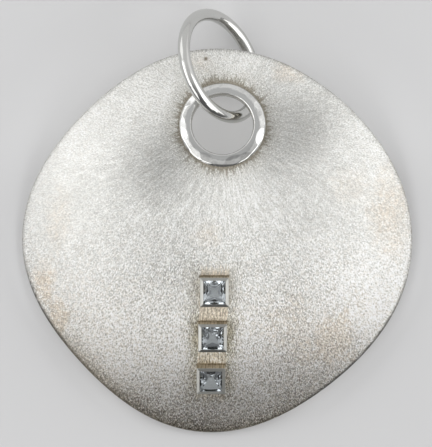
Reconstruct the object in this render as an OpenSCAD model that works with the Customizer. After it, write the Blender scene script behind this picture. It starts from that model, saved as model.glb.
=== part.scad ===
// Domed silver pendant: a wavy round sheet with a hammered collar round its hole,
// three square stones in bezels soldered in a row, and a loose jump ring.
// It lies on its rim on a flat surface, hollow side down, with the ring leaning
// through the hole. +Z is up, +Y runs from the stones towards the ring.

/* [Sheet] */
// Mean radius of the outline
disc_r = 24.7; // [22:0.05:28]
// Thickness of the sheet
sheet_t = 1.1; // [0.9:0.05:1.3]
// Height of the dome's highest point over the surface that the rim rests on
apex_z = 10.3; // [10.1:0.05:10.8]
// Highest point, up the pendant from the middle of the outline
apex_y = -0.2; // [-2:0.1:0]
// Fall of the dome to the left and right, per square millimetre
bow_x = 0.0145; // [0.012:0.0001:0.015]
// Fall of the dome up and down the pendant, per square millimetre
bow_y = 0.0105; // [0.01:0.0001:0.0115]
// How much more the lower half falls than the upper, per cubic millimetre
skew = 0.00019; // [0.00015:0.00001:0.0002]

/* [Collar] */
// Radius of the hole
hole_r = 3.98; // [3.95:0.01:4.05]
// Width of the hammered collar
collar_w = 1.62; // [1.5:0.01:1.8]
// Thickness of the collar
collar_t = 1.6; // [1.55:0.01:1.65]
// Height of the collar's inner edge over the sheet
collar_proud = 0.45; // [0.42:0.01:0.48]
// Fall of the collar's rounded face from its inner edge to its outer one
face_drop = 0.3; // [0:0.05:0.3]
// Centre of the hole, from the middle of the outline
hole_pos = [0.64, 14.94];

/* [Settings and stones] */
// Outer width of a bezel
bezel_w = 3.75; // [3.7:0.05:3.9]
// Outer length of a bezel, along the row
bezel_l = 3.85; // [3.8:0.05:4]
// Height of a bezel over the sheet
bezel_h = 1.15; // [1.1:0.05:1.3]
// Distance from one stone to the next, along the sheet
stone_pitch = 5.95; // [5.8:0.05:6.2]
// Centre of the first stone, from the middle of the outline
stone_pos = [-0.4, -6.6];
// Sideways lean of the row
row_lean = 2.3; // [0:0.1:4]
// Width of a stone at its girdle
stone_w = 3.05; // [3:0.01:3.08]
// Length of a stone at its girdle
stone_l = 3.3; // [3.25:0.01:3.33]

/* [Jump ring] */
// Radius of the ring's wire
wire_r = 0.8; // [0.7:0.01:0.82]
// Radius of the ring, to the middle of its wire
ring_r = 6.98; // [6.9:0.01:7.05]
// Lean of the ring away from lying flat
ring_tilt = 53.6; // [53:0.1:54]
// Compass direction that the ring's upper face leans to
ring_turn = 21.9; // [21:0.1:23]
// Centre of the ring, from the middle of the outline
ring_pos = [0.3, 22.6];

/* [Hidden] */
$fn = 96;

// The outline is a circle with a few waves: [waves round the disc, height, angle of a crest]
outline_waves = [
  [1, 0.05, 0],
  [2, 0.28, 20],
  [3, 0.11, 78],
  [4, 0.59, -8],
  [5, 0.12, -160],
];
function wave_sum(a) = [for (w = outline_waves) w[1] * cos(w[0] * a - w[2])];
function outline_r(a) = disc_r + wave_sum(a) * [for (w = outline_waves) 1];
function polar(r, a) = [r * cos(a), r * sin(a)];
function outline(a) = polar(outline_r(a), a);

// Soft hammered swells and hollows of the sheet: [x, y, reach, height]
swells = [
  [14.0, 14.0, 6.0, 0.18],
  [-14.0, 7.0, 6.0, 0.12],
  [20.0, 6.0, 6.0, -0.12],
  [0.0, -7.0, 6.0, -0.08],
];
function swell(p, s) = s[3] * exp(-pow(norm(p - [s[0], s[1]]) / s[2], 2));
function swell_sum(p) = [for (s = swells) swell(p, s)] * [for (s = swells) 1];

// Height of the sheet's upper face over the table, which flattens out into a seat
// round the collar
seat_reach = 8.5;
collar_tilt = 12;
function dome(p) =
  let (d = p.y - apex_y)
  apex_z - bow_x * p.x * p.x - bow_y * d * d + skew * d * d * d + swell_sum(p);
hole_z = dome(hole_pos);
function seat(p) = hole_z - tan(collar_tilt) * (p.y - hole_pos.y);
function sheet_z(p) =
  let (flat = exp(-pow(norm(p - hole_pos) / seat_reach, 2)))
  flat * seat(p) + (1 - flat) * dome(p);

// Unit normal of the upper face
delta = 0.05;
function slope_x(p) = (sheet_z(p + [delta, 0]) - sheet_z(p - [delta, 0])) / (2 * delta);
function slope_y(p) = (sheet_z(p + [0, delta]) - sheet_z(p - [0, delta])) / (2 * delta);
function normal(p) = let (v = [-slope_x(p), -slope_y(p), 1]) v / norm(v);
function under(p, depth) = [p.x, p.y, sheet_z(p)] - depth * normal(p);

// The sheet is a grid of rows that run round it, from the hole out over the
// upper face, down the rounded rim and back in under it
spokes = 72;
face_rows = 17;
inner_r = hole_r + collar_w / 2;
edge_r = 0.32;
function at(u, a, inset) =
  (1 - u) * (hole_pos + polar(inner_r, a)) + u * (outline(a) - polar(inset, a));
function face_row(i, depth) =
  [for (k = [0 : spokes - 1]) under(at(i / face_rows, k * 360 / spokes, edge_r), depth)];
function rim_row(inset, depth) =
  [for (k = [0 : spokes - 1]) under(at(1, k * 360 / spokes, inset), depth)];
rows = concat(
  [for (i = [0 : face_rows]) face_row(i, 0)],
  [for (a = [30, 60]) rim_row(edge_r * (1 - sin(a)), edge_r * (1 - cos(a)))],
  [rim_row(0, edge_r), rim_row(0, sheet_t - edge_r)],
  [for (a = [60, 30]) rim_row(edge_r * (1 - sin(a)), sheet_t - edge_r * (1 - cos(a)))],
  [for (i = [face_rows : -1 : 0]) face_row(i, sheet_t)]
);

// The whole part is moved so that it stands on z = 0 with its box centred
all_x = [for (r = rows, p = r) p.x];
all_y = [for (r = rows, p = r) p.y];
sheet_low = min([for (r = rows, p = r) p.z]);
ring_n = [sin(ring_tilt) * cos(ring_turn), sin(ring_tilt) * sin(ring_turn), cos(ring_tilt)];
ring_top_y = ring_pos.y + ring_r * sqrt(1 - ring_n.y * ring_n.y) + wire_r;
ring_z = ring_r * sqrt(1 - ring_n.z * ring_n.z) + wire_r;
shift = [-(min(all_x) + max(all_x)) / 2, -(min(all_y) + ring_top_y) / 2, -sheet_low];

// Stones: each centre is one pitch further down the sheet than the last
function next_y(y) =
  let (a = atan(slope_y([stone_pos.x, y - stone_pitch / 2]))) y - stone_pitch * cos(a);
stone_y1 = stone_pos.y;
stone_y2 = next_y(stone_y1);
stone_y3 = next_y(stone_y2);
function stone_xy(y) = [stone_pos.x + tan(row_lean) * (y - stone_y1), y];
stones = [stone_xy(stone_y1), stone_xy(stone_y2), stone_xy(stone_y3)];

// How deep a bezel's foot sinks into the sheet, as a share of its thickness
bezel_root = 0.6;

// Depths under the bezel's rim
lip_t = 0.3;
seat_depth = 0.93;
bevel_w = 0.38;
bevel_drop = 0.16;
play = 0.05;
lip_over = 0.1;
ledge_w = 0.22;
table_depth = 0.08;
crown_h = 0.36;
girdle_t = 0.08;
pavilion_h = 1.55;

// Hammer marks on the collar's face: [angle round the collar, lean outwards, turn along
// the band, depth]
hammer_marks = [
  [2, 23, 3, 0.06], [31, 18, -6, 0.05], [59, 11, 4, 0.04], [86, 14, -3, 0.06],
  [113, 10, 5, 0.03], [147, 21, -5, 0.05], [176, 24, 4, 0.06], [203, 20, -6, 0.04],
  [222, 23, 5, 0.06], [250, 13, -4, 0.05], [279, 16, 6, 0.07], [309, 21, -5, 0.05],
  [335, 18, 5, 0.05],
];
hammer_r = 14;
mark_out = 0.35;
function face_z(r) = -face_drop * pow((r - hole_r) / collar_w, 2);

module on_sheet(p, up) {
  translate([p.x, p.y, sheet_z(p)]) rotate([atan(slope_y(p)), 0, 0]) translate([0, 0, up])
    children();
}

module sheet() {
  flat = [for (r = rows, p = r) p];
  n = len(rows);
  quads = [for (i = [0 : n - 1], k = [0 : spokes - 1])
    let (j = (i + 1) % n, m = (k + 1) % spokes)
    [i * spokes + k, i * spokes + m, j * spokes + m, j * spokes + k]];
  triangles = [for (q = quads, t = [[q[0], q[1], q[2]], [q[0], q[2], q[3]]]) t];
  polyhedron(points = flat, faces = triangles, convexity = 6);
}

module collar() {
  bore_edge = 0.18;
  outer_edge = 0.2;
  outer_r = hole_r + collar_w;
  mark_r = hole_r + collar_w / 2 + mark_out;
  face_steps = 4;
  face_w = collar_w - outer_edge - bore_edge;
  face = [for (i = [0 : face_steps])
    let (r = outer_r - outer_edge - face_w * i / face_steps) [r, face_z(r)]];
  profile = concat(
    [[hole_r, -collar_t + bore_edge], [hole_r + bore_edge, -collar_t]],
    [[outer_r, -collar_t], [outer_r, face_z(outer_r) - outer_edge]],
    face,
    [[hole_r, -bore_edge]]
  );
  difference() {
    rotate_extrude() polygon(profile);
    for (m = hammer_marks) {
      lean = [sin(m[1]), sin(m[2])];
      rotate([0, 0, m[0]]) translate([mark_r, 0, face_z(mark_r)])
        translate((hammer_r - m[3]) * [lean.x, lean.y, sqrt(1 - lean * lean)])
          sphere(r = hammer_r);
    }
  }
}

module place_collar() {
  translate([hole_pos.x, hole_pos.y, hole_z]) rotate([-collar_tilt, 0, 0])
    translate([0, 0, collar_proud]) children();
}

module box(w, l, low, high) {
  translate([-w / 2, -l / 2, low]) cube([w, l, high - low]);
}

module bezel() {
  side = atan2(bevel_drop, bevel_w);
  reach = 6;
  difference() {
    box(bezel_w, bezel_l, -bezel_h - bezel_root * sheet_t, 0);
    for (a = [0 : 90 : 270]) {
      half = (a % 180 == 0 ? bezel_w : bezel_l) / 2;
      rotate([0, 0, a]) translate([half - bevel_w, 0, 0]) rotate([0, side, 0])
        translate([0, -reach / 2, 0]) cube([reach, reach, reach]);
    }
  }
}

module stone_room() {
  over = 1;
  box(stone_w - 2 * lip_over, stone_l - 2 * lip_over, -seat_depth, over);
  box(stone_w + 2 * play, stone_l + 2 * play, -seat_depth, -lip_t);
  box(stone_w - 2 * ledge_w, stone_l - 2 * ledge_w, -bezel_h - sheet_t - over, -seat_depth + play);
}

module disc() {
  color("silver") translate(shift) difference() {
    union() {
      sheet();
      place_collar() collar();
      for (p = stones) on_sheet(p, bezel_h) bezel();
    }
    for (p = stones) on_sheet(p, bezel_h) stone_room();
  }
}

// A square brilliant: octagonal table, crown of 16 facets, and a pavilion whose
// three tiers of chevrons meet along ribs from the corners to the culet. Table and
// tiers are shares of the girdle: [at the corners, at the middles of the sides]
table_share = [0.66, 0.70];
tiers = [[0.72, 0.50], [0.42, 0.26]];
pavilion_bulge = 1.5;
function pavilion_depth(s) = pavilion_h * (1 - pow(s, pavilion_bulge));
function ring8(corner, middle, corner_z, middle_z) = [
  for (k = [0 : 7])
    let (at_corner = k % 2 == 1, s = at_corner ? corner : middle)
    let (x = sign(round(2 * cos(k * 45))), y = sign(round(2 * sin(k * 45))))
    [s * x * stone_w / 2, s * y * stone_l / 2, at_corner ? corner_z : middle_z]
];
module cut_stone() {
  top_z = -table_depth;
  girdle_z = top_z - crown_h;
  low_z = girdle_z - girdle_t;
  rings = [
    ring8(table_share[0], table_share[1], top_z, top_z),
    ring8(1, 1, girdle_z, girdle_z),
    ring8(1, 1, low_z, low_z),
    for (t = tiers) ring8(t[0], t[1], low_z - pavilion_depth(t[0]), low_z - pavilion_depth(t[1])),
  ];
  n = len(rings);
  culet = n * 8;
  points = concat([for (r = rings, p = r) p], [[0, 0, low_z - pavilion_h]]);
  sides = [for (i = [0 : n - 2], k = [0 : 7])
    let (a = i * 8 + k, b = i * 8 + (k + 1) % 8, c = a + 8, d = b + 8, odd = k % 2 == 1)
    each (odd ? [[a, b, c], [b, d, c]] : [[a, b, d], [a, d, c]])];
  tip = [for (k = [0 : 7]) [(n - 1) * 8 + k, (n - 1) * 8 + (k + 1) % 8, culet]];
  table = [[for (k = [7 : -1 : 0]) k]];
  polyhedron(points = points, faces = concat(table, sides, tip), convexity = 2);
}

module stone(i) {
  color("lightsteelblue") translate(shift) on_sheet(stones[i], bezel_h) cut_stone();
}

module bail_ring() {
  color("gainsboro") translate([ring_pos.x + shift.x, ring_pos.y + shift.y, ring_z])
    rotate([0, ring_tilt, ring_turn]) rotate_extrude() translate([ring_r, 0]) circle(r = wire_r);
}

disc();
stone(0);  // stone_top
stone(1);  // stone_middle
stone(2);  // stone_bottom
bail_ring();
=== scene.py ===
"""Looks of the silver pendant: brushed sheet, hammered collar, bezels, stones and jump ring.

Angles are in degrees and lengths in millimetres, or in metres where the name ends in _M. The
drawing's own frame has its origin in the middle of the sheet's outline, and OFFSET takes it to
the row frame.
"""

import math

import bpy
import numpy as np
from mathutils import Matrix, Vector


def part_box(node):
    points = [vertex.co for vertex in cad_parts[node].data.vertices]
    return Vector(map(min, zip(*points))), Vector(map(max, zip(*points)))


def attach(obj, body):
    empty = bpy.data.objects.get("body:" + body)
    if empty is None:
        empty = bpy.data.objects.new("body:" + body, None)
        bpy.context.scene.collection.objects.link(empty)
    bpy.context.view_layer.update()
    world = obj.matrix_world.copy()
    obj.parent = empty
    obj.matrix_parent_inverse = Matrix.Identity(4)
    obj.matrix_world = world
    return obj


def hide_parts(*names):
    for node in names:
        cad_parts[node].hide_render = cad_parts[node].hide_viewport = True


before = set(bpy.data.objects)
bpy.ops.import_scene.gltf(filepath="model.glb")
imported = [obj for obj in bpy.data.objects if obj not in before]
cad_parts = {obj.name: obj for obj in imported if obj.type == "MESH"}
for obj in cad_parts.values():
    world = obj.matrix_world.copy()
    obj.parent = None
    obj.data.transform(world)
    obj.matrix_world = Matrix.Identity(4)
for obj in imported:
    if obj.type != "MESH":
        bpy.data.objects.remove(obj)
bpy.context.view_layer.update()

MM = 0.001

# Shape of the sheet

DISC_R = 24.7
SHEET_T = 1.1
EDGE_R = 0.32
# Waves of the outline: how many go round, height, angle of a crest
WAVES = ((1, 0.05, 0), (2, 0.28, 20), (3, 0.11, 78), (4, 0.59, -8), (5, 0.12, -160))
APEX_Z, APEX_Y = 10.3, -0.2
BOW_X, BOW_Y, SKEW = 0.0145, 0.0105, 0.00019
# Soft swells and hollows: x, y, reach, height
SWELLS = ((14, 14, 6, 0.18), (-14, 7, 6, 0.12), (20, 6, 6, -0.12), (0, -7, 6, -0.08))
HOLE = np.array((0.64, 14.94))
HOLE_R, COLLAR_W, COLLAR_T, COLLAR_PROUD, COLLAR_TILT = 3.98, 1.62, 1.6, 0.45, 12.0
SEAT_REACH = 8.5
SLOPE_STEP = 0.05


def outline_r(a):
    return DISC_R + sum(h * np.cos(n * a - math.radians(c)) for n, h, c in WAVES)


def dome(x, y):
    d = y - APEX_Y
    z = APEX_Z - BOW_X * x * x - BOW_Y * d * d + SKEW * d ** 3
    for sx, sy, reach, height in SWELLS:
        z = z + height * np.exp(-((x - sx) ** 2 + (y - sy) ** 2) / reach ** 2)
    return z


HOLE_Z = float(dome(*HOLE))


def sheet_z(x, y):
    """The height of the sheet's face: the dome, with a flat tilted seat round the hole."""
    flat = np.exp(-((x - HOLE[0]) ** 2 + (y - HOLE[1]) ** 2) / SEAT_REACH ** 2)
    seat = HOLE_Z - math.tan(math.radians(COLLAR_TILT)) * (y - HOLE[1])
    return flat * seat + (1 - flat) * dome(x, y)


def slope_y(x, y):
    return (sheet_z(x, y + SLOPE_STEP) - sheet_z(x, y - SLOPE_STEP)) / (2 * SLOPE_STEP)


def normal(x, y):
    slope_x = (sheet_z(x + SLOPE_STEP, y) - sheet_z(x - SLOPE_STEP, y)) / (2 * SLOPE_STEP)
    n = np.stack([-slope_x, -slope_y(x, y), np.ones_like(slope_x)], -1)
    return n / np.linalg.norm(n, axis=-1, keepdims=True)


SPOKES, FACE_ROWS, BACK_ROWS = 360, 120, 40
RIM_TURNS = (15, 30, 45, 60, 75)
INNER_R = HOLE_R + COLLAR_W / 2


def angles_round(count):
    return np.arange(count) * 2 * math.pi / count


def sheet_rows():
    """Rows of points round the sheet: under it from the hole out, up the rim and in over the face."""
    a = angles_round(SPOKES)
    ray = np.stack([np.cos(a), np.sin(a)], -1)
    inner = HOLE + INNER_R * ray
    outer = outline_r(a)[:, None] * ray

    def row(share, inset, depth):
        x, y = ((1 - share) * inner + share * (outer - inset * ray)).T
        return np.stack([x, y, sheet_z(x, y)], -1) - depth * normal(x, y)

    turns = [(EDGE_R * (1 - math.sin(b)), EDGE_R * (1 - math.cos(b))) for b in map(math.radians, RIM_TURNS)]
    rows = [row(share, EDGE_R, 0) for share in np.linspace(0, 1, FACE_ROWS + 1)]
    rows += [row(1, inset, depth) for inset, depth in turns]
    rows += [row(1, 0, EDGE_R), row(1, 0, SHEET_T - EDGE_R)]
    rows += [row(1, inset, SHEET_T - depth) for inset, depth in reversed(turns)]
    rows += [row(share, EDGE_R, SHEET_T) for share in np.linspace(1, 0, BACK_ROWS + 1)]
    return np.array(rows[::-1])


ROWS = sheet_rows()
disc_low, disc_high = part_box("disc")
OFFSET = np.array((
    (disc_low.x + disc_high.x) / 2 / MM - (ROWS[..., 0].min() + ROWS[..., 0].max()) / 2,
    disc_low.y / MM - ROWS[..., 1].min(),
    -ROWS[..., 2].min(),
))


# Meshes

def add_mesh(name, points, faces, smooth=True):
    """A mesh object from points in the drawing's frame."""
    mesh = bpy.data.meshes.new(name)
    mesh.from_pydata(((np.asarray(points) + OFFSET) * MM).tolist(), [], faces)
    mesh.update()
    if smooth:
        mesh.shade_smooth()
    else:
        mesh.shade_flat()
    obj = bpy.data.objects.new(name, mesh)
    bpy.context.scene.collection.objects.link(obj)
    return obj


def lofted(name, rows, smooth=True):
    """A closed mesh through equal rings of points, the last ring joined to the first."""
    rows = np.asarray(rows)
    count, around, _ = rows.shape
    faces = []
    for ring in range(count):
        this, following = ring * around, (ring + 1) % count * around
        for left in range(around):
            right = (left + 1) % around
            faces.append((this + left, this + right, following + right, following + left))
    return add_mesh(name, rows.reshape(-1, 3), faces, smooth)


# The sheet's UV map, and the distance from the hole that its v spans
UV_MAP = "round_hole"
UV_SPAN = 50


def polar_uv(obj):
    """A UV map whose u runs round the hole, so that its tangent crosses the brush strokes."""
    mesh = obj.data
    x, y, _ = np.array([v.co for v in mesh.vertices]).T / MM
    dx, dy = x - OFFSET[0] - HOLE[0], y - OFFSET[1] - HOLE[1]
    turn = np.arctan2(dy, dx) / (2 * math.pi)
    out = np.hypot(dy, dx) / UV_SPAN
    layer = mesh.uv_layers.new(name=UV_MAP)
    for face in mesh.polygons:
        first = turn[face.vertices[0]]
        for corner in face.loop_indices:
            v = mesh.loops[corner].vertex_index
            u = turn[v] - round(turn[v] - first)
            layer.data[corner].uv = (u, out[v])


CORNER_STEPS = 4


def rect(half_w, half_l, z, corner):
    """A ring of points along a rectangle with rounded corners."""
    points = []
    for k, (sx, sy) in enumerate(((1, 1), (-1, 1), (-1, -1), (1, -1))):
        for i in range(CORNER_STEPS + 1):
            a = math.radians(90 * k + 90 * i / CORNER_STEPS)
            points.append((sx * (half_w - corner) + corner * math.cos(a),
                           sy * (half_l - corner) + corner * math.sin(a), z))
    return points


def place(points, p, up):
    """Stands points on the sheet at p, square to its slope up the pendant."""
    tilt = math.atan(float(slope_y(*p)))
    c, s = math.cos(tilt), math.sin(tilt)
    x, y, z = np.asarray(points, float).reshape(-1, 3).T
    z = z + up
    return np.stack([p[0] + x, p[1] + y * c - z * s, float(sheet_z(*p)) + y * s + z * c], -1)


# Bezels and stones

BEZEL_W, BEZEL_L, BEZEL_H = 3.75, 3.85, 1.15
STONE_W, STONE_L, STONE_PITCH, ROW_LEAN = 3.05, 3.3, 5.95, 2.3
STONE_POS, STONE_COUNT = (-0.4, -6.6), 3
BEVEL_W, BEVEL_DROP = 0.38, 0.12
# The small rounding where a bezel's wall meets the bevel
SOFT = 0.05
LIP_OVER, LIP_T, SEAT_DEPTH, LEDGE_W, PLAY = 0.1, 0.3, 0.93, 0.22, 0.05
# The chamfer at the lip's inner edge
LIP_SOFT_W, LIP_SOFT_DROP = 0.03, 0.06
# How deep a bezel's foot sinks into the sheet, as a share of its thickness
BEZEL_ROOT = 0.6
WALL_CORNER, RIM_CORNER, LIP_CORNER = 0.12, 0.08, 0.06
ROW_SLANT = math.tan(math.radians(ROW_LEAN))


def next_y(y):
    """The y of the next stone, one pitch down the slope of the sheet."""
    a = math.atan(float(slope_y(STONE_POS[0], y - STONE_PITCH / 2)))
    return y - STONE_PITCH * math.cos(a)


def stone_places():
    """The x and y of each stone, from the top one down."""
    places, y = [], STONE_POS[1]
    for _ in range(STONE_COUNT):
        places.append((STONE_POS[0] + ROW_SLANT * (y - STONE_POS[1]), y))
        y = next_y(y)
    return places


def bezel_rings():
    """Rings of a bezel: up its wall, over the bevel and the lip, and down past the ledge."""
    wall_w, wall_l = BEZEL_W / 2, BEZEL_L / 2
    lip_w, lip_l = STONE_W / 2 - LIP_OVER, STONE_L / 2 - LIP_OVER
    room_w, room_l = STONE_W / 2 + PLAY, STONE_L / 2 + PLAY
    hole_w, hole_l = STONE_W / 2 - LEDGE_W, STONE_L / 2 - LEDGE_W
    foot = -BEZEL_H - BEZEL_ROOT * SHEET_T
    sections = (
        (wall_w, wall_l, foot, WALL_CORNER),
        (wall_w, wall_l, -BEVEL_DROP - SOFT, WALL_CORNER),
        (wall_w - 0.3 * SOFT, wall_l - 0.3 * SOFT, -BEVEL_DROP - 0.3 * SOFT, WALL_CORNER),
        (wall_w - SOFT, wall_l - SOFT, -BEVEL_DROP + 0.4 * SOFT, WALL_CORNER),
        (wall_w - BEVEL_W, wall_l - BEVEL_W, 0, RIM_CORNER),
        (lip_w + LIP_SOFT_W, lip_l + LIP_SOFT_W, -LIP_SOFT_DROP / 3, LIP_CORNER),
        (lip_w, lip_l, -LIP_SOFT_DROP, LIP_CORNER),
        (lip_w, lip_l, -LIP_T, LIP_CORNER),
        (room_w, room_l, -LIP_T, LIP_CORNER),
        (room_w, room_l, -SEAT_DEPTH, LIP_CORNER),
        (hole_w, hole_l, -SEAT_DEPTH, LIP_CORNER),
        (hole_w, hole_l, foot, LIP_CORNER),
    )
    return [rect(*section) for section in sections]


def add_bezel(name, p, metal, tan):
    """A bezel whose outer walls, the first faces of the loft, carry the tan of the strip."""
    rings = [place(r, p, BEZEL_H) for r in bezel_rings()]
    obj = lofted(name, rings, smooth=False)
    obj.data.materials.append(metal)
    obj.data.materials.append(tan)
    for face in list(obj.data.polygons)[:len(rings[0])]:
        face.material_index = 1
    return obj


# Collar

FACE_DROP = 0.3
HAMMER_R = 14
# The hammer's marks: angle round the collar, lean outwards, turn along the band, depth
HAMMER_MARKS = (
    (2, 23, 3, 0.06), (31, 18, -6, 0.05), (59, 11, 4, 0.04), (86, 14, -3, 0.06),
    (113, 10, 5, 0.03), (147, 21, -5, 0.05), (176, 24, 4, 0.06), (203, 20, -6, 0.04),
    (222, 23, 5, 0.06), (250, 13, -4, 0.05), (279, 16, 6, 0.07), (309, 21, -5, 0.05),
    (335, 18, 5, 0.05),
)
# How far outside the middle of the band the marks lie
MARK_OUT = 0.35
# The eased edges at the bore and outside, and the depth of a ring of points on the outer wall
BORE_EDGE, OUTER_EDGE, WALL_MIDDLE = 0.18, 0.2, 0.7
FACE_STEPS = 16


def crown(r):
    """Fall of the collar's rounded face from its inner edge."""
    return -FACE_DROP * ((r - HOLE_R) / COLLAR_W) ** 2


def hammered(r, a, z):
    """The height of the collar's face after the marks, each the dent of a ball of HAMMER_R."""
    x, y = r * np.cos(a), r * np.sin(a)
    middle = HOLE_R + COLLAR_W / 2 + MARK_OUT
    for angle, lean, turn, depth in HAMMER_MARKS:
        at = math.radians(angle)
        out, along = math.sin(math.radians(lean)), math.sin(math.radians(turn))
        up = math.sqrt(1 - out * out - along * along)
        reach = HAMMER_R - depth
        ball_x = middle * math.cos(at) + reach * (out * math.cos(at) - along * math.sin(at))
        ball_y = middle * math.sin(at) + reach * (out * math.sin(at) + along * math.cos(at))
        squares = (x - ball_x) ** 2 + (y - ball_y) ** 2
        dent = crown(middle) + reach * up - np.sqrt(np.maximum(HAMMER_R ** 2 - squares, 0))
        z = np.minimum(z, dent)
    return z


def add_collar(name):
    """The hammered collar, turned round the hole and tilted towards the upper end."""
    a = angles_round(SPOKES)
    tilt = math.radians(COLLAR_TILT)
    c, s = math.cos(tilt), math.sin(tilt)
    outer = HOLE_R + COLLAR_W
    wall = [
        (HOLE_R, -COLLAR_T + BORE_EDGE), (HOLE_R + BORE_EDGE, -COLLAR_T), (outer, -COLLAR_T),
        (outer, -WALL_MIDDLE),
    ]
    face = [(outer - OUTER_EDGE * t, crown(outer) - OUTER_EDGE * (1 - t)) for t in (0, 0.35, 0.7)]
    face += [(r, crown(r)) for r in np.linspace(outer - OUTER_EDGE, HOLE_R + BORE_EDGE, FACE_STEPS)]
    face += [(HOLE_R + 0.5 * BORE_EDGE, -0.35 * BORE_EDGE), (HOLE_R, -BORE_EDGE)]
    rings = [(r, np.full_like(a, z)) for r, z in wall]
    rings += [(r, hammered(r, a, np.full_like(a, z))) for r, z in face]
    rows = []
    for r, height in rings:
        x, y, z = r * np.cos(a), r * np.sin(a), height + COLLAR_PROUD
        rows.append(np.stack([HOLE[0] + x, HOLE[1] + y * c + z * s, HOLE_Z - y * s + z * c], -1))
    return lofted(name, rows)


# Jump ring

WIRE_R, RING_R, RING_TILT, RING_TURN = 0.8, 6.98, 53.6, 21.9
RING_STEPS, WIRE_STEPS = 256, 40


def add_ring(name):
    """The ring's torus, tilted about Y and then turned about Z, in the middle of its node's box."""
    low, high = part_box("bail_ring")
    centre = (np.array(low) + np.array(high)) / 2 / MM - OFFSET
    a = angles_round(RING_STEPS)
    tilt, turn = math.radians(RING_TILT), math.radians(RING_TURN)
    rows = []
    for b in angles_round(WIRE_STEPS):
        r = RING_R + WIRE_R * math.cos(b)
        x, y, z = r * np.cos(a), r * np.sin(a), np.full_like(a, WIRE_R * math.sin(b))
        x, z = x * math.cos(tilt) + z * math.sin(tilt), -x * math.sin(tilt) + z * math.cos(tilt)
        x, y = x * math.cos(turn) - y * math.sin(turn), x * math.sin(turn) + y * math.cos(turn)
        rows.append(np.stack([x, y, z], -1) + centre)
    return lofted(name, rows)


# Materials

class Finish:
    """A material with one shader and the nodes that feed it."""

    def __init__(self, name, **values):
        self.material = bpy.data.materials.new(name)
        self.material.use_nodes = True
        self.tree = self.material.node_tree
        self.shader = self.tree.nodes["Principled BSDF"]
        for key, value in values.items():
            self.shader.inputs[key.replace("_", " ")].default_value = value

    def node(self, kind, inputs=(), **settings):
        n = self.tree.nodes.new(kind)
        for key, value in settings.items():
            setattr(n, key, value)
        for key, value in dict(inputs).items():
            self.feed(n.inputs[key], value)
        return n

    def feed(self, socket, value):
        if isinstance(value, bpy.types.NodeSocket):
            self.tree.links.new(value, socket)
        else:
            socket.default_value = value

    def math(self, operation, a, b=0.0, c=0.0):
        inputs = {0: a, 1: b, 2: c}
        return self.node("ShaderNodeMath", inputs, operation=operation).outputs[0]

    def vector_math(self, operation, a, b):
        return self.node("ShaderNodeVectorMath", {0: a, 1: b}, operation=operation).outputs[0]

    def blend(self, share, a, b):
        return self.node("ShaderNodeMix", {0: share, 6: a, 7: b}, data_type="RGBA").outputs[2]

    def ramp(self, value, low, high, start=0.0, end=1.0):
        """A smooth step: start up to low, end from high on."""
        inputs = {0: value, 1: low, 2: high, 3: start, 4: end}
        return self.node("ShaderNodeMapRange", inputs, interpolation_type="SMOOTHSTEP").outputs[0]

    def noise(self, vector, scale=1.0, detail=2.0, rough=0.5):
        inputs = {"Vector": vector, "Scale": scale, "Detail": detail, "Roughness": rough}
        return self.node("ShaderNodeTexNoise", inputs).outputs["Fac"]

    def swing(self, noise, amount):
        """A noise from 0 to 1, spread over amount with its middle at zero."""
        return self.math("MULTIPLY_ADD", noise, amount, -0.5 * amount)

    def length(self, x, y):
        squares = self.math("MULTIPLY", y, y)
        return self.math("SQRT", self.math("MULTIPLY_ADD", x, x, squares))

    def split(self, vector):
        return self.node("ShaderNodeSeparateXYZ", {0: vector}).outputs

    def join(self, x, y, z):
        return self.node("ShaderNodeCombineXYZ", {0: x, 1: y, 2: z}).outputs[0]

    def bump(self, height, distance):
        n = self.node("ShaderNodeBump", {"Height": height, "Distance": distance * MM, "Strength": 1.0})
        self.feed(self.shader.inputs["Normal"], n.outputs[0])

    def in_mm(self):
        """Object coordinates in the drawing's frame, in millimetres."""
        metres = self.node("ShaderNodeTexCoord").outputs["Object"]
        return self.vector_math("ADD", self.vector_math("MULTIPLY", metres, (1 / MM,) * 3), tuple(-OFFSET))


SILVER = (0.86, 0.86, 0.83, 1.0)
FAINT = (0.82, 0.735, 0.63, 1.0)
STRIP = (0.76, 0.675, 0.56, 1.0)
STRIP_DARK = (0.30, 0.26, 0.19, 1.0)
WALL = (0.62, 0.56, 0.46, 1.0)
# Olive tarnish, also used for painted shade beside the bezels
OLIVE = (0.33, 0.305, 0.235, 1.0)
# Dark brown tarnish, also used for painted shade on the lower edge
HALO = (0.26, 0.225, 0.165, 1.0)
# Dark brown of the pit, and of the foot lines, which are painted crevice shade
FOOT = (0.22, 0.18, 0.12, 1.0)
# The rim line's dark, tarnish with painted shade
RIM_LINE = (0.17, 0.165, 0.15, 1.0)
SATIN = (0.45, 0.45, 0.425, 1.0)
POLISHED = (0.68, 0.68, 0.66, 1.0)
BURNISHED = (0.86, 0.86, 0.84, 1.0)
# Dull silver of the collar's spots, and painted shade of its inner band
DULLED_AND_SHADED = (0.58, 0.585, 0.575, 1.0)
STONE = (0.73, 0.79, 0.83, 1.0)
PAPER = (0.69, 0.69, 0.695, 1.0)
WHITE = (1.0, 1.0, 1.0, 1.0)

# What a ramp takes is written as from, to, start value and end value, or as from and to alone

# Brush strokes: how many go round in the first band, their length, where that band starts,
# and how far apart the bands' noises lie
STROKES_ROUND, STROKE_LENGTH, FIRST_BAND, BAND_SHIFT = 400, 0.22, 6.0, 17.3
STROKE_DETAIL, STROKE_ROUGH, STROKE_DEPTH = 2.0, 0.7, 0.08
MEAN_SHADE = 0.87
STROKE_TINT = (1.0, 1.015, 1.05)
# Contrast of the strokes: by y, and its share by x and in the strip
COARSE_Y = (-24.0, 8.0, 9.2, 2.2)
COARSE_LEFT = (-20.0, -6.0, 0.6, 1.0)
COARSE_RIGHT = (2.0, 13.0, 1.0, 0.86)
STRIP_CALM = 0.45
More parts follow.
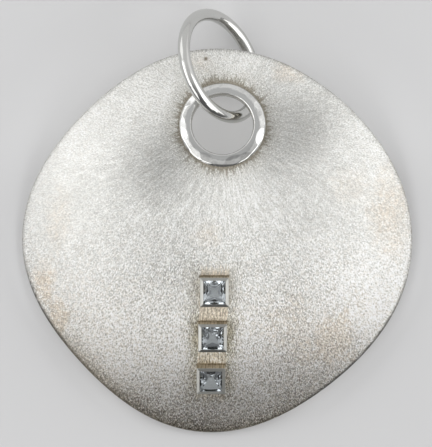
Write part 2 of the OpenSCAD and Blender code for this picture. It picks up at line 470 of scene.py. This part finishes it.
# Longer streaks round the collar: number, length, and their strength by distance and by y
STREAKS_ROUND, STREAK_LENGTH, STREAK_LAYER = 220.0, 2.5, 7.0
STREAK_OUT = (8.0, 26.0, 1.0, 0.0)
STREAK_UP = (8.0, 14.0, 0.9, 0.5)
CLOUDS, CLOUD_SCALE = 0.25, 0.45


def brush_strokes(f, turn, out):
    """Short strokes that fan out from the hole. Their number doubles with each doubling of radius."""
    octave = f.math("LOGARITHM", f.math("DIVIDE", out, FIRST_BAND), 2.0)
    band = f.math("FLOOR", octave)
    along = f.math("DIVIDE", out, STROKE_LENGTH)
    fade = f.math("SUBTRACT", octave, band)
    layers = []
    for step, share in enumerate((f.math("SUBTRACT", 1.0, fade), fade)):
        k = f.math("ADD", band, float(step))
        count = f.math("MULTIPLY", f.math("POWER", 2.0, k), STROKES_ROUND)
        vector = f.join(f.math("MULTIPLY", turn, count), along, f.math("MULTIPLY", k, BAND_SHIFT))
        grain = f.math("SUBTRACT", f.noise(vector, detail=STROKE_DETAIL, rough=STROKE_ROUGH), 0.5)
        layers.append(f.math("MULTIPLY", grain, f.math("SQRT", share)))
    return f.math("ADD", *layers)


def stroke_shade(f, point, turn, out, strokes, strip):
    """Light and dark strokes, coarser down the pendant, with longer streaks round the collar, on a mean
    tone that carries the patches of painted light and shade.
    """
    x, y, _ = f.split(point)
    sides = f.math("MULTIPLY", f.ramp(x, *COARSE_LEFT), f.ramp(x, *COARSE_RIGHT))
    coarse = f.math("MULTIPLY", f.ramp(y, *COARSE_Y), sides)
    coarse = f.math("MULTIPLY", coarse, f.math("MULTIPLY_ADD", strip, -STRIP_CALM, 1.0))
    grain = f.math("MULTIPLY", strokes, coarse)
    around, along = f.math("MULTIPLY", turn, STREAKS_ROUND), f.math("DIVIDE", out, STREAK_LENGTH)
    fan = f.noise(f.join(around, along, STREAK_LAYER))
    near = f.math("MULTIPLY", f.ramp(out, *STREAK_OUT), f.ramp(y, *STREAK_UP))
    streak = f.math("MULTIPLY", f.math("SUBTRACT", fan, 0.5), near)
    cloud = f.swing(f.noise(point, CLOUD_SCALE), CLOUDS)
    total = f.math("ADD", f.math("ADD", grain, streak), cloud)
    # The mean tone carries the soft patches of painted light and shade
    mean = f.math("ADD", painted_light_and_shade(f, x, y), math.log(MEAN_SHADE))
    channels = [f.math("EXPONENT", f.math("MULTIPLY_ADD", total, share, mean)) for share in STROKE_TINT]
    return f.join(*channels)


# Painted light and shade: soft patches that brighten or darken the sheet: x, y, reach, change
LIGHT_AND_SHADE_PATCHES = (
    # Painted shade in the two dark areas beside the collar, and painted light in the brighter ones next to
    # them
    (11, 15, 5, -0.40), (-8, 9, 5, -0.34), (4, 6, 5, 0.12), (-8, 4, 4, 0.12), (-7, 18, 4, 0.12),
    (2, 21, 3, 0.18),
    # Painted light on the bright shoulders
    (-18, 13, 7, 0.15), (20, 13, 6, 0.14), (14, 20, 4, 0.15),
    # Painted light and shade in the middle and on the row of stones
    (-5, -4, 6, -0.15), (10, -7, 5, -0.12), (1, -8, 4, 0.10), (0, -16, 6, 0.40),
    # Painted light on the lower sides, and painted shade on the dark lower edge and beside it
    (22, -10, 8, 0.36), (-10, -16, 7, 0.28), (16, -13, 3, -0.15), (12, -18, 6, -0.16),
    (-10, -22, 4, -0.30), (-2, -24, 5, -0.50),
)


def painted_light_and_shade(f, x, y):
    """The sum of the soft patches of painted light and shade."""
    total = 0.0
    for px, py, reach, change in LIGHT_AND_SHADE_PATCHES:
        dx, dy = f.math("SUBTRACT", x, px), f.math("SUBTRACT", y, py)
        squares = f.math("MULTIPLY_ADD", dx, dx, f.math("MULTIPLY", dy, dy))
        bell = f.math("EXPONENT", f.math("DIVIDE", squares, -reach * reach))
        total = f.math("MULTIPLY_ADD", bell, change, total)
    return total


def rim_distance(f, x, y):
    """Distance in from the sheet's outline, in millimetres."""
    turn = f.math("ARCTAN2", y, x)
    edge = DISC_R
    for n, height, crest in WAVES:
        wave = f.math("COSINE", f.math("MULTIPLY_ADD", turn, n, -math.radians(crest)))
        edge = f.math("MULTIPLY_ADD", wave, height, edge)
    return f.math("SUBTRACT", edge, f.length(x, y))


# Warm patches left on the sheet: x, y, half width, half length, strength
PATCHES = (
    (-22.4, -5.6, 1.5, 3.2, 1.1), (-20.6, -10.2, 1.5, 3.6, 1.2), (9.2, 21.7, 2.2, 1.6, 0.65),
    (22.2, 3.5, 2.8, 6.5, 0.7), (15.2, -13.2, 3.4, 4.4, 1.4), (11.5, -14.5, 4.5, 3.6, 0.8),
    (-15.0, -16.0, 4.0, 3.0, 0.5), (-1.4, 0.6, 2.0, 1.8, 0.5), (-2.3, 23.0, 1.6, 1.5, 0.4),
    (-20.5, 3.0, 2.0, 4.0, 0.4), (18.5, -9.0, 2.5, 2.5, 0.4), (8.5, -12.0, 7.0, 5.0, 0.6),
    (17.5, 7.0, 3.0, 3.0, 0.3),
)
PATCH_EDGE = (0.2, 1.3, 1.0, 0.0)
PATCH_WANDER, WANDER_SCALE = 1.4, 0.35
MOTTLE, MOTTLE_SCALE = (0.35, 0.65, 0.45, 1.0), 1.6
# A faint warmth of the lower part by y, and warm flecks, whose strength goes by y too
WARM_Y = (-22.0, -2.0, 0.45, 0.0)
FLECKS, FLECK_SCALE = (0.4, 0.65), 2.2
FLECKS_Y = (-10.0, 6.0, 0.35, 0.1)


def warm_patches(f, x, y, point):
    """Faint tarnish with mottled edges."""
    wander = f.swing(f.noise(point, WANDER_SCALE, detail=3.0, rough=0.6), PATCH_WANDER)
    mottle = f.ramp(f.noise(point, MOTTLE_SCALE, detail=3.0, rough=0.7), *MOTTLE)
    warm = 0.0
    for px, py, half_w, half_l, strength in PATCHES:
        far = f.length(f.math("DIVIDE", f.math("SUBTRACT", x, px), half_w),
                       f.math("DIVIDE", f.math("SUBTRACT", y, py), half_l))
        patch = f.ramp(f.math("SUBTRACT", far, wander), *PATCH_EDGE)
        warm = f.math("MAXIMUM", warm, f.math("MULTIPLY", patch, strength))
    return f.math("MULTIPLY", warm, mottle)


def warm_silver(f, x, y, point):
    """The silver with its faint warm tarnish."""
    faint = f.math("MAXIMUM", warm_patches(f, x, y, point), f.ramp(y, *WARM_Y))
    flecks = f.ramp(f.noise(point, FLECK_SCALE, rough=0.6), *FLECKS)
    faint = f.math("MULTIPLY_ADD", flecks, f.ramp(y, *FLECKS_Y), faint)
    return f.blend(faint, SILVER, FAINT)


# Streaks of the tan, per millimetre across the row and along it, and how far they shift its edges
TAN_ACROSS, TAN_ALONG, TAN_LAYER, TAN_WANDER = 5.5, 0.8, 3.0, 2.0
# How fast the strip and the halo beside it end, per millimetre to the sides and past the row. The halo is
# olive tarnish with painted shade of the bezels.
STRIP_SIDE, STRIP_SIDE_START, STRIP_END = 5.0, 0.6, 0.6
HALO_SIDE, HALO_END = 0.45, 0.4
STRIP_EDGE = (0.0, 1.0, 1.0, 0.0)
HALO_EDGE = (0.0, 1.1, 1.0, 0.0)
HALO_UPPER, HALO_LOWER = (-12.0, -7.0, 1.0, 0.4), (-18.0, -13.0, 0.7, 1.0)
# Dark streaks in the strip, and their strength by y
TAN_DARK, TAN_DARK_Y = (0.38, 0.58, 1.0, 0.0), (-15.0, -9.0, 1.0, 0.75)
# The dark line at the upper foot of each bezel, painted shade in the crevice with tarnish in the joint: its
# half width, and how it ends beside the bezel
FOOT_LINE, FOOT_END = (0.08, 0.24, 1.0, 0.0), (0.0, 0.15, 1.0, 0.0)
STRIP_COVER, FOOT_COVER = 0.95, 0.95


def tan_streaks(f, across, along):
    """The streaked noise of the tan, on the strip and on the bezels' walls."""
    vector = f.join(f.math("MULTIPLY", across, TAN_ACROSS), f.math("MULTIPLY", along, TAN_ALONG), TAN_LAYER)
    return f.noise(vector, detail=3.0, rough=0.65)


def foot_shade_lines(f, x, y, places, leans):
    """The dark line along the upper foot of each bezel: painted shade in the crevice, with tarnish in the
    joint.
    """
    foot = 0.0
    for (px, py), lean in zip(places, leans):
        past = f.math("SUBTRACT", f.math("ABSOLUTE", f.math("SUBTRACT", x, px)), BEZEL_W / 2)
        above = f.math("SUBTRACT", f.math("SUBTRACT", y, py), BEZEL_L / 2 * lean)
        line = f.ramp(f.math("ABSOLUTE", above), *FOOT_LINE)
        foot = f.math("MAXIMUM", foot, f.math("MULTIPLY", line, f.ramp(past, *FOOT_END)))
    return foot


def tarnished_and_shaded_row(f, x, y, base):
    """Lays the halo, olive tarnish with painted shade of the bezels, the tanned strip, and the foot lines,
    painted crevice shade with tarnish, of the row over base.

    The second value is the strip's own share, which also calms the strokes.
    """
    places = stone_places()
    leans = [math.cos(math.atan(float(slope_y(*p)))) for p in places]
    top = places[0][1] + BEZEL_L / 2 * leans[0]
    low = places[-1][1] - BEZEL_L / 2 * leans[-1]
    row_x = f.math("MULTIPLY_ADD", y, ROW_SLANT, STONE_POS[0] - ROW_SLANT * STONE_POS[1])
    off = f.math("SUBTRACT", x, row_x)
    side = f.math("SUBTRACT", f.math("ABSOLUTE", off), BEZEL_W / 2)
    ends = f.math("MAXIMUM", f.math("SUBTRACT", y, top), f.math("SUBTRACT", low, y))
    streaks = tan_streaks(f, off, y)
    wander = f.swing(streaks, TAN_WANDER)

    sideways = f.math("MULTIPLY_ADD", side, STRIP_SIDE, STRIP_SIDE_START)
    reach = f.math("MAXIMUM", sideways, f.math("MULTIPLY", ends, STRIP_END))
    strip = f.ramp(f.math("SUBTRACT", reach, wander), *STRIP_EDGE)
    beside = f.math("MAXIMUM", f.math("MULTIPLY", side, HALO_SIDE), f.math("MULTIPLY", ends, HALO_END))
    by_y = f.math("MINIMUM", f.ramp(y, *HALO_UPPER), f.ramp(y, *HALO_LOWER))
    halo = f.math("MULTIPLY", f.ramp(f.math("SUBTRACT", beside, wander), *HALO_EDGE), by_y)

    # The halo beside the bezels: olive tarnish with painted shade
    base = f.blend(halo, base, OLIVE)
    dark = f.math("MULTIPLY", f.ramp(streaks, *TAN_DARK), f.ramp(y, *TAN_DARK_Y))
    tan = f.blend(dark, STRIP, STRIP_DARK)
    base = f.blend(f.math("MULTIPLY", strip, STRIP_COVER), base, tan)
    # The foot lines: painted crevice shade with tarnish
    foot = foot_shade_lines(f, x, y, places, leans)
    return f.blend(f.math("MULTIPLY", foot, FOOT_COVER), base, FOOT), strip


# Tarnish round the collar: number and length of the hairs, number of the clumps, and how far
# the two carry it
HAIRS_ROUND, HAIR_LENGTH, HAIR_LAYER = 130.0, 1.5, 0.0
CLUMPS_ROUND, CLUMP_LAYER = 14.0, 5.0
HAIR_REACH, CLUMP_REACH = (0.35, 0.72, 0.3, 2.2), (0.3, 0.7, 0.6, 1.5)
HAIR_EDGE, HAIR_FALL, HAIR_COVER = (0.0, 1.0, 1.0, 0.0), 1.3, 0.8
# The softer shade that goes further: by distance past the collar, and by the strokes
SHADE_OUT, SHADE_STROKES = (0.0, 3.0, 1.0, 0.0), (-0.15, 0.15, 0.5, 0.1)


def tarnished_collar_foot(f, turn, out, strokes, base):
    """Dark tarnish round the collar, drawn out into hairs by the brush."""
    past = f.math("SUBTRACT", out, HOLE_R + COLLAR_W)
    soft = f.math("MULTIPLY", f.ramp(past, *SHADE_OUT), f.ramp(strokes, *SHADE_STROKES))
    base = f.blend(soft, base, OLIVE)
    along = f.math("DIVIDE", past, HAIR_LENGTH)
    hairs = f.noise(f.join(f.math("MULTIPLY", turn, HAIRS_ROUND), along, HAIR_LAYER))
    clumps = f.noise(f.join(f.math("MULTIPLY", turn, CLUMPS_ROUND), 0.0, CLUMP_LAYER))
    reach = f.math("MULTIPLY", f.ramp(hairs, *HAIR_REACH), f.ramp(clumps, *CLUMP_REACH))
    hair = f.math("POWER", f.ramp(f.math("DIVIDE", past, reach), *HAIR_EDGE), HAIR_FALL)
    return f.blend(f.math("MULTIPLY", hair, HAIR_COVER), base, HALO)


# A small dark pit near the top: place, and its strength by distance
PIT, PIT_EDGE = (-1.5, 23.5), (0.05, 0.4, 0.9, 0.0)
# The dark line along the rim, tarnish with painted shade that is stronger lower down, by distance in and by
# y
LINE_IN, LINE_Y = (0.18, 0.7, 1.0, 0.0), (-12.0, 0.0, 1.0, 0.2)
# The darker lower edge, painted shade with brown tarnish, by distance in and by y, which leans a little to
# the side
LOWER_SHADE_IN, LOWER_SHADE_LOW, LOWER_SHADE_LEAN = (0.0, 3.2, 0.7, 0.0), (-22.5, -14.0, 1.0, 0.0), 0.3


def shaded_rim(f, x, y, base):
    """Lays the dark line of the rim, tarnish with painted shade, and the darker lower edge, painted shade
    with brown tarnish, over base.
    """
    inwards = rim_distance(f, x, y)
    line = f.math("MULTIPLY", f.ramp(inwards, *LINE_IN), f.ramp(y, *LINE_Y))
    base = f.blend(line, base, RIM_LINE)
    low = f.math("MULTIPLY_ADD", x, LOWER_SHADE_LEAN, y)
    # Painted shade on the lower edge, with brown tarnish
    lower_shade = f.math("MULTIPLY", f.ramp(inwards, *LOWER_SHADE_IN), f.ramp(low, *LOWER_SHADE_LOW))
    return f.blend(lower_shade, base, HALO)


def matt_silver():
    """The sheet's finish: brushed in short strokes that fan out from the hole, tarnished, and with painted
    light and shade.
    """
    f = Finish("matt_silver", Metallic=1.0, Roughness=0.42, Anisotropic=0.8)
    point = f.in_mm()
    x, y, _ = f.split(point)
    dx, dy = f.math("SUBTRACT", x, float(HOLE[0])), f.math("SUBTRACT", y, float(HOLE[1]))
    out = f.length(dx, dy)
    turn = f.math("DIVIDE", f.math("ARCTAN2", dy, dx), 2 * math.pi)
    strokes = brush_strokes(f, turn, out)

    base = warm_silver(f, x, y, point)
    base, strip = tarnished_and_shaded_row(f, x, y, base)
    pit = f.length(f.math("SUBTRACT", x, PIT[0]), f.math("SUBTRACT", y, PIT[1]))
    base = f.blend(f.ramp(pit, *PIT_EDGE), base, FOOT)
    base = tarnished_collar_foot(f, turn, out, strokes, base)
    base = shaded_rim(f, x, y, base)
    shaded = f.vector_math("MULTIPLY", base, stroke_shade(f, point, turn, out, strokes, strip))
    f.feed(f.shader.inputs["Base Color"], f.vector_math("MINIMUM", shaded, WHITE[:3]))
    f.bump(strokes, STROKE_DEPTH)
    tangent = f.node("ShaderNodeTangent", direction_type="UV_MAP", uv_map=UV_MAP)
    f.feed(f.shader.inputs["Tangent"], tangent.outputs[0])
    return f.material


def satin_silver():
    return Finish("satin_silver", Base_Color=SATIN, Metallic=1.0, Roughness=0.28).material


def tanned_silver():
    """The bezels' walls, tanned and streaked like the strip between them."""
    f = Finish("tanned_silver", Metallic=1.0, Roughness=0.5)
    x, y, _ = f.split(f.in_mm())
    light = f.ramp(tan_streaks(f, x, y), *TAN_DARK[:2])
    f.feed(f.shader.inputs["Base Color"], f.blend(light, STRIP_DARK, WALL))
    return f.material


def polished_silver():
    return Finish("polished_silver", Base_Color=POLISHED, Metallic=1.0, Roughness=0.10).material


# The collar: its dark bore, the dull band inside its bright facets, darkened as painted shade, and its
# small dents
BORE_STEP, BORE_COVER = (HOLE_R + 0.01, HOLE_R + 0.04, 1.0, 0.0), 0.55
SHADED_BAND_START, SHADED_BAND_END = (HOLE_R + 0.18, HOLE_R + 0.26), (HOLE_R + 1.1, HOLE_R + 1.35, 1.0, 0.0)
SHADED_BAND_WANDER = 0.8
DULL_SCALE, DULL_SPOTS, DULL_COVER = 0.9, (0.45, 0.65), 0.5
DENT_DEPTH = 0.02


def hammered_silver():
    """The collar's finish, dull inside its bore, with painted shade on the band inside its facets."""
    f = Finish("hammered_silver", Metallic=1.0, Roughness=0.12)
    point = f.in_mm()
    x, y, z = f.split(point)
    tilt = math.radians(COLLAR_TILT)
    up = f.math("MULTIPLY", f.math("SUBTRACT", z, HOLE_Z), math.sin(tilt))
    level = f.math("MULTIPLY", f.math("SUBTRACT", y, float(HOLE[1])), math.cos(tilt))
    out = f.length(f.math("SUBTRACT", x, float(HOLE[0])), f.math("SUBTRACT", level, up))
    dull = f.noise(point, DULL_SCALE, detail=3.0, rough=0.6)
    wander = f.math("MULTIPLY_ADD", dull, SHADED_BAND_WANDER, out)
    # The inner band: dulled, and darkened as painted shade
    band = f.math("MULTIPLY", f.ramp(wander, *SHADED_BAND_END), f.ramp(out, *SHADED_BAND_START))
    spots = f.math("MULTIPLY", f.ramp(dull, *DULL_SPOTS), DULL_COVER)
    face = f.blend(f.math("MAXIMUM", spots, band), BURNISHED, DULLED_AND_SHADED)
    bore = f.math("MULTIPLY", f.ramp(out, *BORE_STEP), BORE_COVER)
    f.feed(f.shader.inputs["Base Color"], f.blend(bore, face, HALO))
    f.bump(dull, DENT_DEPTH)
    return f.material


def blue_stone():
    return Finish("blue_stone", Base_Color=STONE, Roughness=0.0, IOR=1.62, Transmission_Weight=1.0).material


# The paper's own glow, which lifts the pendant's shadow: under the pendant, past its upper
# side, close to its lower rim, and a little towards the far side of the paper
GLOW_UNDER = (16.0, 23.0, 0.25, 0.0)
GLOW_PAST, GLOW_PAST_Y = (23.0, 35.0, 0.08, 0.0), (4.0, 16.0)
GLOW_RIM, GLOW_RIM_LOW, GLOW_RIM_HIGH = (-2.6, 0.0, 0.0, 0.10), (-25.0, -20.5), (-9.0, 2.0, 1.0, 0.2)
GLOW_FAR = (-8.0, 20.0, 0.0, 0.022)


def lit_paper():
    """The pale surface that the pendant lies on, with its glow."""
    f = Finish("paper", Base_Color=PAPER, Roughness=0.9, Specular_IOR_Level=0.1, Emission_Color=WHITE)
    x, y, _ = f.split(f.in_mm())
    out = f.length(x, y)
    past = f.math("MULTIPLY", f.ramp(out, *GLOW_PAST), f.ramp(y, *GLOW_PAST_Y))
    glow = f.math("MAXIMUM", f.ramp(out, *GLOW_UNDER), past)
    lower = f.math("MINIMUM", f.ramp(y, *GLOW_RIM_LOW), f.ramp(y, *GLOW_RIM_HIGH))
    rim = f.math("MULTIPLY", f.ramp(rim_distance(f, x, y), *GLOW_RIM), lower)
    glow = f.math("ADD", f.math("MAXIMUM", glow, rim), f.ramp(y, *GLOW_FAR))
    f.feed(f.shader.inputs["Emission Strength"], glow)
    return f.material


# Pieces

# The holes behind the stones are cut from this far below the sheet's face to this far above it
CUT_LOW, CUT_HIGH = -3.5, 1.0
BOX_FACES = ((3, 2, 1, 0), (4, 5, 6, 7), (0, 1, 5, 4), (1, 2, 6, 5), (2, 3, 7, 6), (3, 0, 4, 7))


def add_sheet(name):
    """The sheet, cut through behind each stone."""
    obj = lofted(name, ROWS)
    points, faces = [], []
    half_w, half_l = STONE_W / 2 - LEDGE_W, STONE_L / 2 - LEDGE_W
    corners = [(sx * half_w, sy * half_l, z) for z in (CUT_LOW, CUT_HIGH)
               for sx, sy in ((-1, -1), (1, -1), (1, 1), (-1, 1))]
    for p in stone_places():
        start = len(points)
        points += place(corners, p, 0).tolist()
        faces += [tuple(start + i for i in face) for face in BOX_FACES]
    cutter = add_mesh("cutter", points, faces, smooth=False)
    cut = obj.modifiers.new("holes", "BOOLEAN")
    cut.operation, cut.solver, cut.object = "DIFFERENCE", "EXACT", cutter
    mesh = bpy.data.meshes.new_from_object(obj.evaluated_get(bpy.context.evaluated_depsgraph_get()))
    obj.modifiers.clear()
    obj.data = mesh
    mesh.name = name
    bpy.data.objects.remove(cutter)
    polar_uv(obj)
    return obj


satin = satin_silver()
tan = tanned_silver()

sheet = add_sheet("sheet")
sheet.data.materials.append(matt_silver())
collar = add_collar("collar")
collar.data.materials.append(hammered_silver())
bezel_names = ("bezel_top", "bezel_middle", "bezel_bottom")
bezels = [add_bezel(name, p, satin, tan) for name, p in zip(bezel_names, stone_places())]
for piece in (sheet, collar, *bezels):
    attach(piece, "root")
    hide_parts("disc")

ring = add_ring("jump_ring")
ring.data.materials.append(polished_silver())
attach(ring, "root")
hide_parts("bail_ring")

glass = blue_stone()
for n in ("stone_top", "stone_middle", "stone_bottom"):
    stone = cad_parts[n]
    stone.data.shade_flat()
    stone.data.materials.clear()
    stone.data.materials.append(glass)

# Surface, lights and world

FLOOR_SIZE_M = 3

bpy.ops.mesh.primitive_plane_add(size=FLOOR_SIZE_M, location=(0, 0, 0))
floor = bpy.context.object
floor.name = "floor"
floor.data.materials.append(lit_paper())

# Softboxes round the pendant: angle from +X, elevation, width and height in metres, radiance
LIGHTS = {
    "left": (190, 35, 0.50, 0.36, 1.58),
    "left_back": (140, 25, 0.40, 0.45, 0.60),
    "left_front": (232, 36, 0.28, 0.36, 1.42),
    "left_high": (180, 60, 0.50, 0.20, 0.54),
    "right": (0, 33, 0.46, 0.60, 1.08),
    "right_back": (32, 25, 0.26, 0.50, 0.24),
    "right_front": (332, 35, 0.26, 0.36, 1.46),
    "right_near": (309, 34, 0.16, 0.16, 1.50),
    "over": (0, 90, 0.60, 0.60, 0.10),
}
LIGHT_DISTANCE_M, OVER_DISTANCE_M = 0.6, 1.4


def add_softbox(name, azimuth, elevation, width, height, radiance):
    """A rectangular light that faces the pendant."""
    lamp = bpy.data.lights.new(name, "AREA")
    lamp.shape, lamp.size, lamp.size_y = "RECTANGLE", width, height
    lamp.energy = radiance * math.pi * width * height
    box = bpy.data.objects.new(name, lamp)
    a, e = math.radians(azimuth), math.radians(elevation)
    way = Vector((math.cos(e) * math.cos(a), math.cos(e) * math.sin(a), math.sin(e)))
    box.location = way * (OVER_DISTANCE_M if name == "over" else LIGHT_DISTANCE_M)
    box.rotation_euler = (-way).to_track_quat("-Z", "Y").to_euler()
    bpy.context.scene.collection.objects.link(box)


for name, values in LIGHTS.items():
    add_softbox(name, *values)

# The world's strength, by the Y of the direction: from, to, near side, far side
WORLD_Y = (-0.7, 0.4, 0.12, 0.68)


def studio_world():
    """A plain white world, dark towards the near side."""
    world = bpy.data.worlds.new("studio")
    world.use_nodes = True
    nodes, links = world.node_tree.nodes, world.node_tree.links
    background = nodes["Background"]
    background.inputs["Color"].default_value = WHITE
    way = nodes.new("ShaderNodeTexCoord")
    split = nodes.new("ShaderNodeSeparateXYZ")
    fade = nodes.new("ShaderNodeMapRange")
    for socket, value in zip(list(fade.inputs)[1:5], WORLD_Y):
        socket.default_value = value
    links.new(way.outputs["Generated"], split.inputs[0])
    links.new(split.outputs["Y"], fade.inputs[0])
    links.new(fade.outputs[0], background.inputs["Strength"])
    return world


scene = bpy.context.scene
scene.world = studio_world()
scene.view_settings.view_transform = "Standard"

# Camera, straight above, with the photo's size and the pixel where the drawing's origin is

PHOTO_W, PHOTO_H, ORIGIN_PX = 432, 447, (217.5, 240)
MM_PER_PIXEL = 0.13
CAMERA_Z_M, SUBJECT_Z_M = 1.2, 0.003
SENSOR_HEIGHT = 36
CLIP_END_M = 10

lens = bpy.data.cameras.new("camera")
lens.sensor_fit = "VERTICAL"
lens.sensor_height = SENSOR_HEIGHT
lens.lens = SENSOR_HEIGHT * (CAMERA_Z_M - SUBJECT_Z_M) / (PHOTO_H * MM_PER_PIXEL * MM)
lens.clip_end = CLIP_END_M
camera = bpy.data.objects.new("camera", lens)
middle_x = (PHOTO_W / 2 - ORIGIN_PX[0]) * MM_PER_PIXEL
middle_y = (ORIGIN_PX[1] - PHOTO_H / 2) * MM_PER_PIXEL
camera.location = ((OFFSET[0] + middle_x) * MM, (OFFSET[1] + middle_y) * MM, CAMERA_Z_M)
scene.collection.objects.link(camera)
scene.camera = camera
